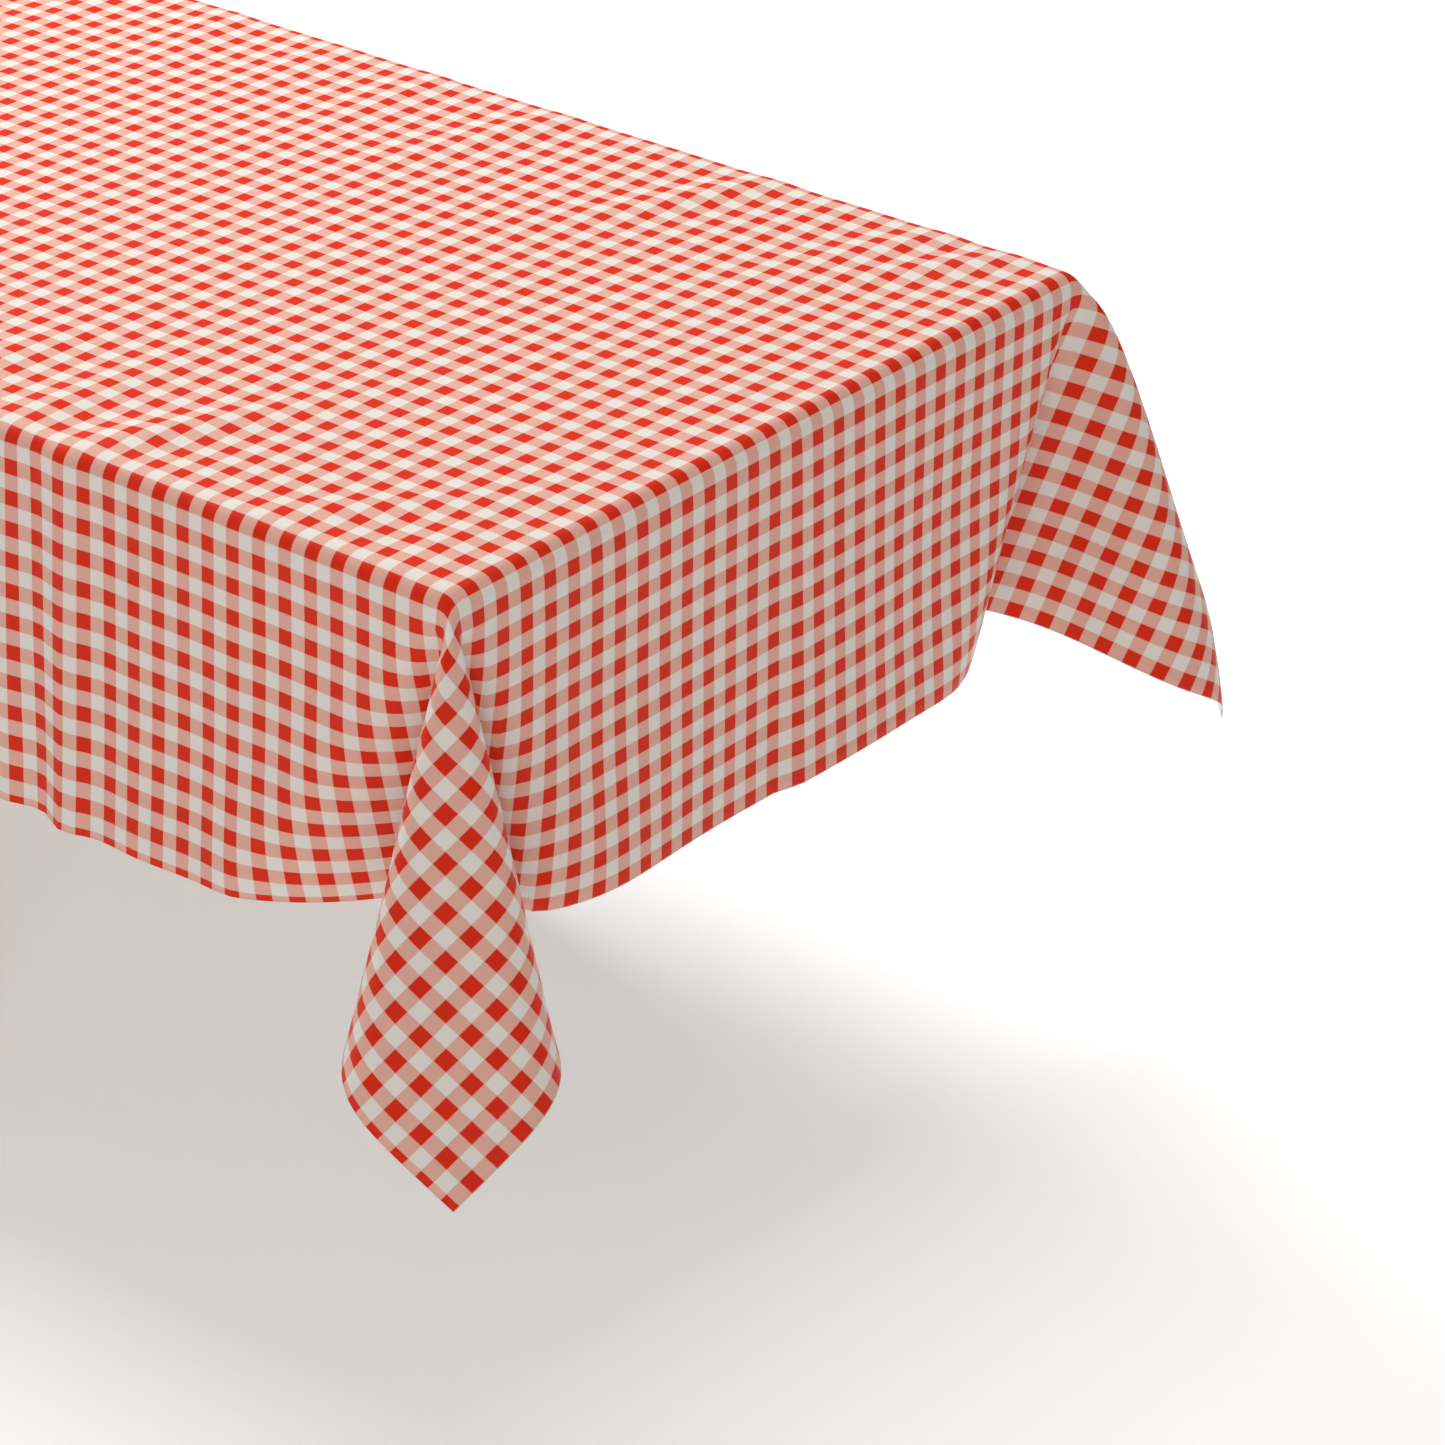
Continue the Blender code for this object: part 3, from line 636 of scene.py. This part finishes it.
def flat_lines(cloth, edge, top_pitch):
    """Mesh lines across the sheet, finest over the table's edge, and the sheet's half size."""
    flat, sharp = bend_table(cloth, edge, edge + cloth.drop)
    half_size = float(np.interp(edge + cloth.drop, sharp, flat))
    bend_in = float(np.interp(edge - 1.5 * cloth.bend, sharp, flat))
    bend_out = float(np.interp(edge + 2.0 * cloth.bend, sharp, flat))

    def span(start, end, pitch):
        count = max(1, round((end - start) / pitch))
        return list(np.linspace(start, end, count + 1))[:-1]

    lines = span(0.0, bend_in, top_pitch) + span(bend_in, bend_out, cloth.bend_pitch)
    lines += span(bend_out, half_size, cloth.drop_pitch) + [half_size]
    return np.array([-line for line in reversed(lines[1:])] + lines), half_size


def on_sharp(cloth, edge, place):
    """Where places on the flat sheet lie on the sharp drape."""
    flat, sharp = bend_table(cloth, edge, edge + cloth.drop)
    return np.sign(place) * np.interp(np.abs(place), flat, sharp)


# Creases left by storage: (side, place along the edge, slant, strength).  The slant
# is the distance that a crease moves along for each metre that it runs inward.
CREASES = (
    (1, 0.892, -0.45, 1.9), (1, 1.073, -0.40, 1.6), (1, 1.146, -0.62, 1.8),
    (1, 0.655, -0.30, 1.3), (1, 0.498, 0.05, 1.0), (1, 0.390, -0.08, 0.5),
    (1, 0.250, 0.22, 1.1), (1, 0.110, 0.15, 0.8), (1, -0.080, -0.20, 1.1),
    (1, -0.330, 0.25, 1.3), (1, -0.520, -0.10, 0.8), (1, -0.760, 0.35, 1.5),
    (1, -0.980, 0.40, 1.2), (-1, 0.805, 0.50, 2.0), (-1, 0.738, 0.06, 1.2),
    (-1, 0.620, 0.22, 1.1), (-1, 0.985, 0.90, 1.0), (-1, 1.140, -0.05, 0.7),
    (-1, 0.440, -0.15, 1.2), (-1, 0.260, 0.30, 0.9), (-1, 0.050, 0.10, 1.3),
    (-1, -0.180, -0.30, 1.0), (-1, -0.430, 0.20, 1.4), (-1, -0.700, -0.35, 1.3),
    (-1, -0.930, -0.45, 1.1), (-1, -1.090, -0.20, 0.8),
)
CREASE_HEIGHT = 0.0036    # of a crease whose strength is 1
CREASE_WIDTH = 0.026
CREASE_REACH = 0.150      # how far in from the edge a crease fades out
CREASE_ON_DROP = 1.8      # how much more a crease moves the hanging cloth


def crease_heights(points_x, inward, side):
    """Height of the storage creases, at places this far in from one long edge."""
    total = np.zeros_like(points_x)
    for crease_side, place, slant, strength in CREASES:
        if crease_side != side:
            continue
        offset = (points_x - place - slant * np.maximum(inward, 0.0)) / CREASE_WIDTH
        ridge = np.exp(-offset ** 2) - 0.4 * np.exp(-(offset / 2.0) ** 2)
        total += CREASE_HEIGHT * strength * ridge
    return total


def crease(cloth, points, along, across):
    """Storage creases: short ridges on the top that run on over the edges and down."""
    edge_x, edge_y = cloth_edge(cloth)
    moved = points.copy()
    past_end = np.abs(along) - edge_x
    clear_end = np.clip(-past_end / 0.04, 0, 1)
    for side in (1, -1):
        inward = edge_y - across * side
        height = crease_heights(along, inward, side) * clear_end
        near_edge = 0.3 + 0.7 * np.clip((inward - 0.012) / 0.04, 0, 1)
        fade = np.exp(-(np.maximum(inward, 0) / CREASE_REACH) ** 2) * near_edge
        top = (inward > 0) & (past_end < 0)
        moved[top, 2] += (height * fade)[top] + 0.0004
        down = np.clip(-inward / cloth.drop, 0, 1)
        clear_fold = np.clip((-past_end - 0.13) / 0.15, 0, 1)
        hanging = (inward <= 0) & (past_end < 0)
        push = CREASE_ON_DROP * height * clear_fold * (0.3 + down)
        moved[hanging, 1] += side * push[hanging]
    return moved


# How far from a corner the waves in the drops begin, and over how far they grow.
SIDE_WAVES = (0.16, 0.22)
END_WAVES = (0.14, 0.20)


def share_between(distance, limits):
    """0 nearer than the first limit, growing to 1 over the second."""
    start, span = limits
    return min(1.0, max(0.0, (distance - start) / span))


def ripple_drops(cloth, points, along, across):
    """Soft upright waves in the drops and faint slanting ones on the top."""
    edge_x, edge_y = cloth_edge(cloth)
    moved = points.copy()
    for index in range(len(points)):
        x, y = along[index], across[index]
        past_end, past_side = abs(x) - edge_x, abs(y) - edge_y
        end, side = math.copysign(1, x), math.copysign(1, y)
        if past_end <= 0 and past_side <= 0:
            slanting = noise.noise(Vector((x * 2.2 + y * 3.1, y * 5.5 - x * 2.4, 4.0)))
            broad = noise.noise(Vector((x * 1.3, y * 2.2, 9.0)))
            clear = min(1.0, -past_end / 0.05) * min(1.0, -past_side / 0.05)
            moved[index, 2] += cloth.top_ripple * clear * (0.5 + 0.35 * slanting + 0.3 * broad)
            continue
        if past_side > 0 and past_end < 0:
            fade = share_between(-past_end, SIDE_WAVES)
            wave = noise.noise(Vector((x * 7.5, side * 3.0, 1.0)))
            slow = noise.noise(Vector((x * 2.0, side * 5.0, 2.0)))
            hang = (past_side / cloth.drop) ** 1.2
            moved[index, 1] += side * cloth.ripple * fade * hang * (0.9 + 1.6 * wave + 0.8 * slow)
        elif past_end > 0 and past_side < 0:
            fade = share_between(-past_side, END_WAVES)
            wave = noise.noise(Vector((y * 7.5, end * 3.0, 1.0)))
            hang = (past_end / cloth.drop) ** 1.2
            moved[index, 0] += end * cloth.ripple * 0.7 * fade * hang * (0.9 + 1.6 * wave)
    return moved


def clear_of_table(cloth, points):
    """Moves points out of the table's rounded top, with room for the cloth itself."""
    skin = cloth_skin(cloth)
    over_x = np.abs(points[:, 0]) - (HALF_LENGTH - CORNER_RADIUS)
    over_y = np.abs(points[:, 1]) - (HALF_WIDTH - CORNER_RADIUS)
    outside = np.hypot(np.maximum(over_x, 0), np.maximum(over_y, 0))
    inside = np.minimum(np.maximum(over_x, over_y), 0)
    plan = outside + inside - CORNER_RADIUS
    high = points[:, 2] - TABLE_TOP
    rim_plan, rim_high = plan + ROUND_OVER, high + ROUND_OVER
    both = (rim_plan > 0) & (rim_high > 0)
    rim = np.hypot(np.maximum(rim_plan, 0), np.maximum(rim_high, 0))
    depth = np.where(both, rim - ROUND_OVER, np.maximum(plan, high))
    near_edge = plan > -0.03
    caught = (depth < skin) & (points[:, 2] > BOARD_UNDERSIDE - skin) & near_edge
    push = np.where(caught, skin - depth, 0.0)
    # outward in plan, and upward only over the rounded rim
    span = np.maximum(outside, 1e-9)
    way_x = np.where(outside > 0, np.maximum(over_x, 0) / span, over_x >= over_y)
    way_y = np.where(outside > 0, np.maximum(over_y, 0) / span, over_y > over_x)
    total = rim + 1e-9
    flat_share = np.where(both, np.maximum(rim_plan, 0) / total, plan > high)
    up_share = np.where(both, np.maximum(rim_high, 0) / total, plan <= high)
    moved = points.copy()
    moved[:, 0] += push * flat_share * way_x * np.sign(points[:, 0])
    moved[:, 1] += push * flat_share * way_y * np.sign(points[:, 1])
    moved[:, 2] += push * up_share
    return moved


def flat_sheet(name, lines_x, lines_y):
    """The sheet as it was cut, laid flat, with its flat place kept as its UV map."""
    bm = bmesh.new()
    count_x, count_y = len(lines_x) - 1, len(lines_y) - 1
    bmesh.ops.create_grid(bm, x_segments=count_x, y_segments=count_y, size=1.0)
    for vert in bm.verts:
        column = round((vert.co.x + 1) / 2 * count_x)
        row = round((vert.co.y + 1) / 2 * count_y)
        vert.co = (lines_x[column], lines_y[row], 0.0)
    layer = bm.loops.layers.uv.new("flat")
    for face in bm.faces:
        for loop in face.loops:
            loop[layer].uv = loop.vert.co.xy
    mesh = bpy.data.meshes.new(name)
    bm.to_mesh(mesh)
    bm.free()
    return mesh


def table_form():
    """A temporary solid of the whole top, for the cloth to settle on."""
    bm = bmesh.new()
    height = TABLE_TOP - BOARD_UNDERSIDE
    middle = (TABLE_TOP + BOARD_UNDERSIDE) / 2
    size = Matrix.Diagonal((2 * HALF_LENGTH, 2 * HALF_WIDTH, height, 1.0))
    bmesh.ops.create_cube(bm, size=1.0, matrix=Matrix.Translation((0, 0, middle)) @ size)
    upright = [edge for edge in bm.edges
               if abs(edge.verts[0].co.z - edge.verts[1].co.z) > height / 2]
    bmesh.ops.bevel(bm, geom=upright, offset=CORNER_RADIUS, segments=5, profile=0.5,
                    affect="EDGES", material=-1)
    rim = [edge for edge in bm.edges
           if all(vert.co.z > TABLE_TOP - 1e-5 for vert in edge.verts)]
    bmesh.ops.bevel(bm, geom=rim, offset=ROUND_OVER, segments=5, profile=0.5,
                    affect="EDGES", material=-1)
    mesh = bpy.data.meshes.new("table_form")
    bm.to_mesh(mesh)
    bm.free()
    form = bpy.data.objects.new("table_form", mesh)
    bpy.context.scene.collection.objects.link(form)
    form.modifiers.new("collide", "COLLISION")
    form.collision.thickness_outer = 0.001
    form.collision.cloth_friction = 12.0
    return form


def smooth_field(field, flat, passes):
    """The field averaged with its neighbours on the sheet's mesh, a number of times."""
    order = np.lexsort((flat[:, 0], flat[:, 1]))
    columns = len(np.unique(np.round(flat[:, 0], 6)))
    grid = field[order].reshape(-1, columns, 3)
    for _ in range(passes):
        for axis in (0, 1):
            wide = np.pad(grid, [(1, 1) if axis == k else (0, 0) for k in range(3)], mode="edge")
            before, after = np.delete(wide, [-2, -1], axis), np.delete(wide, [0, 1], axis)
            grid = 0.25 * before + 0.5 * grid + 0.25 * after
    smooth = np.empty_like(field)
    smooth[order] = grid.reshape(-1, 3)
    return smooth


def settle(cloth, piece, flat_mesh, start, held):
    """Lets the draped sheet settle under its own weight.

    The flat sheet is its rest shape.  The move is capped and smoothed, so that
    settling leaves broad curves and no crumples.
    """
    piece.shape_key_add(name="draped")
    flat_key = piece.shape_key_add(name="flat")
    flat_points = np.zeros(len(flat_mesh.vertices) * 3)
    flat_mesh.vertices.foreach_get("co", flat_points)
    flat_key.data.foreach_set("co", flat_points)
    group = piece.vertex_groups.new(name="held")
    group.add([int(index) for index in np.nonzero(held)[0]], 1.0, "REPLACE")
    form = table_form()
    modifier = piece.modifiers.new("settle", "CLOTH")
    physics = modifier.settings
    physics.quality = 6
    physics.mass = 0.012
    physics.air_damping = 6.0
    physics.tension_stiffness = 40.0
    physics.compression_stiffness = 40.0
    physics.shear_stiffness = 25.0
    physics.bending_stiffness = 6.0
    physics.tension_damping = 15.0
    physics.compression_damping = 15.0
    physics.shear_damping = 15.0
    physics.bending_damping = 3.0
    physics.vertex_group_mass = "held"
    physics.pin_stiffness = 1.0
    physics.rest_shape_key = flat_key
    modifier.collision_settings.use_collision = True
    modifier.collision_settings.distance_min = 0.001
    modifier.collision_settings.collision_quality = 2
    modifier.collision_settings.use_self_collision = False
    scene = bpy.context.scene
    modifier.point_cache.frame_start = 1
    modifier.point_cache.frame_end = cloth.settle_frames
    for number in range(1, cloth.settle_frames + 1):
        scene.frame_set(number)
    shown = piece.evaluated_get(bpy.context.evaluated_depsgraph_get())
    settled = np.zeros(len(start) * 3)
    shown.data.vertices.foreach_get("co", settled)
    settled = settled.reshape(-1, 3)
    scene.frame_set(1)
    piece.modifiers.remove(modifier)
    piece.shape_key_clear()
    piece.vertex_groups.clear()
    bpy.data.objects.remove(form)
    move = settled - start
    far = np.linalg.norm(move, axis=1)
    print("settling moved the cloth by", round(float(far.mean()) * 1000, 2), "mm, at most",
          round(float(far.max()) * 1000, 2))
    share = np.minimum(1.0, cloth.settle_cap / np.maximum(far, 1e-9))
    return start + smooth_field(move * share[:, None], flat_points.reshape(-1, 3),
                                cloth.settle_smoothing)


def drape_cloth(cloth):
    """The draped cloth and its flat size."""
    edge_x, edge_y = cloth_edge(cloth)
    lines_x, half_x = flat_lines(cloth, edge_x, cloth.top_pitch[0])
    lines_y, half_y = flat_lines(cloth, edge_y, cloth.top_pitch[1])
    mesh = flat_sheet("gingham_cloth", lines_x, lines_y)
    flat = np.zeros(len(mesh.vertices) * 3)
    mesh.vertices.foreach_get("co", flat)
    flat = flat.reshape(-1, 3)
    along = on_sharp(cloth, edge_x, flat[:, 0])
    across = on_sharp(cloth, edge_y, flat[:, 1])
    folds = [CornerFold(cloth, index) for index in range(4)]
    points = rounded_drape(cloth, folds, along, across)
    points = ripple_drops(cloth, points, along, across)
    points = crease(cloth, points, along, across)
    points = clear_of_table(cloth, points)
    flat_mesh = mesh.copy()
    mesh.vertices.foreach_set("co", points.ravel())
    piece = bpy.data.objects.new("gingham_cloth", mesh)
    bpy.context.scene.collection.objects.link(piece)
    held = np.abs(along) < edge_x - 2 * cloth.bend
    held &= np.abs(across) < edge_y - 2 * cloth.bend
    points = settle(cloth, piece, flat_mesh, points, held)
    points = clear_of_table(cloth, points)
    mesh.vertices.foreach_set("co", points.ravel())
    bpy.data.meshes.remove(flat_mesh)
    mesh.update()
    return piece, (2 * half_x, 2 * half_y)


# ---------------------------------------------------------------- operators
def cad_node(name):
    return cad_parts[name]


def paint(names, made):
    """Gives CAD nodes a finish through their own material slots."""
    for name in names:
        piece = cad_node(name)
        if not piece.material_slots:
            piece.data.materials.append(made)
        for place in piece.material_slots:
            place.material = made


def named(*starts):
    return [name for name in sorted(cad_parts) if name.startswith(starts)]


class TABLE_OT_cloth(Operator):
    """Drape the gingham cloth over the table, with a pointed fold at each corner"""
    bl_idname = "table.cloth"
    bl_label = "Drape Cloth"

    def execute(self, context):
        cloth = context.scene.table_cloth
        piece, flat_size = drape_cloth(cloth)
        piece.data.materials.append(printed_cloth(cloth))
        piece.data.materials.append(fleece_backing(cloth))
        piece.data.shade_smooth()
        shell = piece.modifiers.new("thickness", "SOLIDIFY")
        shell.thickness = cloth.thickness
        shell.offset = -1.0
        shell.use_even_offset = False
        shell.material_offset = 1
        shell.material_offset_rim = 1
        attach(piece, "cloth")
        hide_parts("tablecloth")
        return {"FINISHED"}


class TABLE_OT_top(Operator):
    """Finish the board and its lippings as oiled wood"""
    bl_idname = "table.top"
    bl_label = "Finish Table Top"

    def execute(self, context):
        settings = context.scene.table_timber
        paint(["board"], timber("board_oak", 0, settings, 1.0))
        paint(["lipping_front", "lipping_back"], timber("lipping_long_oak", 0, settings, 0.9))
        paint(["lipping_left", "lipping_right"], timber("lipping_end_oak", 1, settings, 0.9))
        return {"FINISHED"}


class TABLE_OT_frame(Operator):
    """Finish the rails, battens, bearers, legs, stretchers and beam as lacquered wood"""
    bl_idname = "table.frame"
    bl_label = "Finish Frame"

    def execute(self, context):
        settings = context.scene.table_timber
        paint(named("rail_", "beam"), timber("rail_oak", 0, settings, 1.08, 0.42))
        paint(named("batten_left", "batten_right", "bearer_left", "bearer_right", "stretcher_"),
              timber("bearer_oak", 1, settings, 1.05, 0.42))
        paint(named("leg_front", "leg_back"), timber("leg_oak", 2, settings, 1.12, 0.42))
        paint(named("leg_dowel"), end_grain_dowel(settings))
        return {"FINISHED"}


class TABLE_OT_fittings(Operator):
    """Finish the screws, bolts and glides"""
    bl_idname = "table.fittings"
    bl_label = "Finish Fittings"

    def execute(self, context):
        paint(named("batten_screw", "bearer_screw", "frame_bolt"), plated_steel())
        paint(named("glide"), moulded_plastic())
        return {"FINISHED"}


# Each soft light's place and size, and the place that all of them face.
LIGHTS = {
    "overhead": ((0.2, 0.6, 4.2), (2.6, 2.4)),
    "window": ((-4.2, 0.8, 2.9), (2.0, 1.6)),
    "front": ((2.9, -3.0, 2.2), (1.6, 1.2)),
}
LIGHT_TARGET = (0.3, 0.0, 0.7)


class TABLE_OT_stage(Operator):
    """Set up the pale floor, the soft light and the camera"""
    bl_idname = "table.stage"
    bl_label = "Set Stage"

    def execute(self, context):
        scene = context.scene
        settings = scene.table_stage
        scene.view_settings.view_transform = "Standard"
        bm = bmesh.new()
        bmesh.ops.create_grid(bm, x_segments=1, y_segments=1, size=30.0)
        mesh = bpy.data.meshes.new("studio_floor")
        bm.to_mesh(mesh)
        bm.free()
        floor = bpy.data.objects.new("studio_floor", mesh)
        scene.collection.objects.link(floor)
        graph = Graph("floor_paper", roughness=0.9)
        paper = graph.noise(graph.place(), 3.0, 3.0)
        graph.surface("Base Color", graph.mix(paper, (0.86, 0.86, 0.86), (0.90, 0.90, 0.90)))
        graph.surface("Roughness", 0.88 + 0.08 * paper)
        graph.uniform("Specular IOR Level", 0.1)
        graph.uniform("Emission Color", (1.0, 1.0, 1.0, 1.0))
        graph.uniform("Emission Strength", settings.floor_glow)
        mesh.materials.append(graph.material)

        world = bpy.data.worlds.new("pale_room")
        world.use_nodes = True
        background = world.node_tree.nodes["Background"]
        background.inputs["Color"].default_value = (1.0, 0.99, 0.98, 1.0)
        background.inputs["Strength"].default_value = settings.surround
        scene.world = world

        for name, (place, size) in LIGHTS.items():
            self.soft_light(scene, name, getattr(settings, name), place, size)

        camera = bpy.data.cameras.new("camera")
        camera.lens = settings.lens
        camera.sensor_width = 36.0
        camera.clip_end = 100.0
        camera.dof.use_dof = False
        holder = bpy.data.objects.new("camera", camera)
        scene.collection.objects.link(holder)
        cloth = scene.table_cloth
        edge_x, edge_y = cloth_edge(cloth)
        level = TABLE_TOP + cloth_skin(cloth)
        holder.location = Vector((edge_x, -edge_y, level)) + Vector(settings.away)
        azimuth, elevation = settings.azimuth, settings.elevation
        looks = Vector((-math.sin(azimuth) * math.cos(elevation),
                        math.cos(azimuth) * math.cos(elevation),
                        -math.sin(elevation)))
        holder.rotation_euler = looks.to_track_quat("-Z", "Y").to_euler()
        scene.camera = holder
        return {"FINISHED"}

    def soft_light(self, scene, name, power, place, size):
        light = bpy.data.lights.new(name, "AREA")
        light.shape = "RECTANGLE"
        light.size, light.size_y = size
        light.energy = power
        holder = bpy.data.objects.new(name, light)
        holder.location = place
        aim = Vector(LIGHT_TARGET) - Vector(place)
        holder.rotation_euler = aim.to_track_quat("-Z", "Y").to_euler()
        scene.collection.objects.link(holder)


class TABLE_PT_panel(Panel):
    """The table's steps and the sizes and colours that they use"""
    bl_label = "Gingham Table"
    bl_idname = "TABLE_PT_panel"
    bl_space_type = "VIEW_3D"
    bl_region_type = "UI"
    bl_category = "Table"

    def draw(self, context):
        for step in STEPS:
            self.layout.operator(step.bl_idname)
        for group in (context.scene.table_cloth, context.scene.table_timber,
                      context.scene.table_stage):
            box = self.layout.box()
            for name in group.bl_rna.properties.keys():
                if name not in ("rna_type", "name"):
                    box.prop(group, name)


SETTINGS = {"table_cloth": ClothSettings, "table_timber": TimberSettings,
            "table_stage": StageSettings}
STEPS = (TABLE_OT_cloth, TABLE_OT_top, TABLE_OT_frame, TABLE_OT_fittings, TABLE_OT_stage)


def register():
    for group in SETTINGS.values():
        bpy.utils.register_class(group)
    for step in STEPS:
        bpy.utils.register_class(step)
    bpy.utils.register_class(TABLE_PT_panel)
    for name, group in SETTINGS.items():
        setattr(bpy.types.Scene, name, PointerProperty(type=group))


def unregister():
    for name in SETTINGS:
        delattr(bpy.types.Scene, name)
    bpy.utils.unregister_class(TABLE_PT_panel)
    for step in reversed(STEPS):
        bpy.utils.unregister_class(step)
    for group in reversed(list(SETTINGS.values())):
        bpy.utils.unregister_class(group)


def main():
    register()
    bpy.ops.table.cloth()
    bpy.ops.table.top()
    bpy.ops.table.frame()
    bpy.ops.table.fittings()
    bpy.ops.table.stage()
    bpy.context.view_layer.update()


if __name__ == "__main__":
    main()
